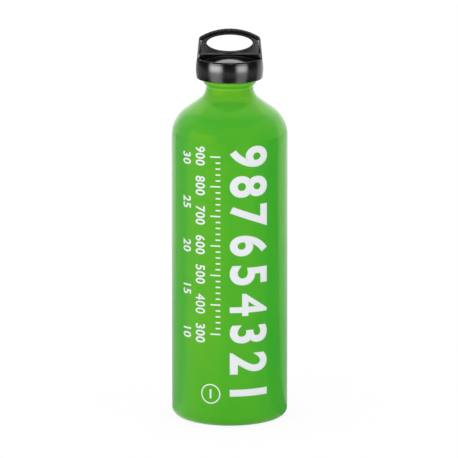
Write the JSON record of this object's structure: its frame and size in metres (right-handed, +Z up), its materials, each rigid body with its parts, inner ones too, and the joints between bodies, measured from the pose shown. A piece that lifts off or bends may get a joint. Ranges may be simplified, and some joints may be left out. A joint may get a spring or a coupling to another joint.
{
  "type": "fuel bottle",
  "caption": "Aluminium bottle for liquid stove fuel with a press-and-turn screw closure, a sealing ring and an upright carrying loop.",
  "frame": {"origin": "on the bottle's axis, in the plane that the bottle stands on", "axes": "+Z up along the bottle's axis; the plate of the carrying loop lies across X, so the loop is seen face on from -Y"},
  "size_m": [0.08, 0.08, 0.2717],
  "materials": {
    "green_lacquer": "glossy bright green lacquer over drawn aluminium",
    "print_ink": "white screen print on the lacquer",
    "machined_aluminium": "bright, with turning marks",
    "seal_rubber": "smooth black",
    "plug_plastic": "satin black",
    "spring_plastic": "natural off-white",
    "cap_plastic": "semi-gloss black with a fine moulded grain"
  },
  "bodies": {
    "bottle": {"bottle_shell": "green_lacquer", "neck_insert": "machined_aluminium"},
    "seal": {"seal_ring": "seal_rubber"},
    "plug": {"screw_plug": "plug_plastic"},
    "spring": {"spring_ring": "spring_plastic"},
    "cap": {"cap_shell": "cap_plastic"}
  },
  "joints": [
    {"name": "cap_rise", "type": "slide", "parent": "bottle", "child": "seal", "axis": [0, 0, 1], "range_m": [0, 0.0428]},
    {"name": "cap_turn", "type": "hinge", "parent": "seal", "child": "plug", "pos_m": [0, 0, 0.2404], "axis": [0, 0, 1], "range_deg": [0, 5130]},
    {"name": "shell_spin", "type": "hinge", "parent": "plug", "child": "spring", "pos_m": [0, 0, 0.2436], "axis": [0, 0, 1], "continuous": true},
    {"name": "cap_press", "type": "slide", "parent": "spring", "child": "cap", "axis": [0, 0, -1], "range_m": [0, 0.0014], "stiffness_N_per_m": 3000, "springref_m": -0.001, "deforming": ["spring_ring"]}
  ],
  "couplings": [
    {"joint": "cap_rise", "follows": "cap_turn", "m_per_rad": 0.00047746}
  ]
}
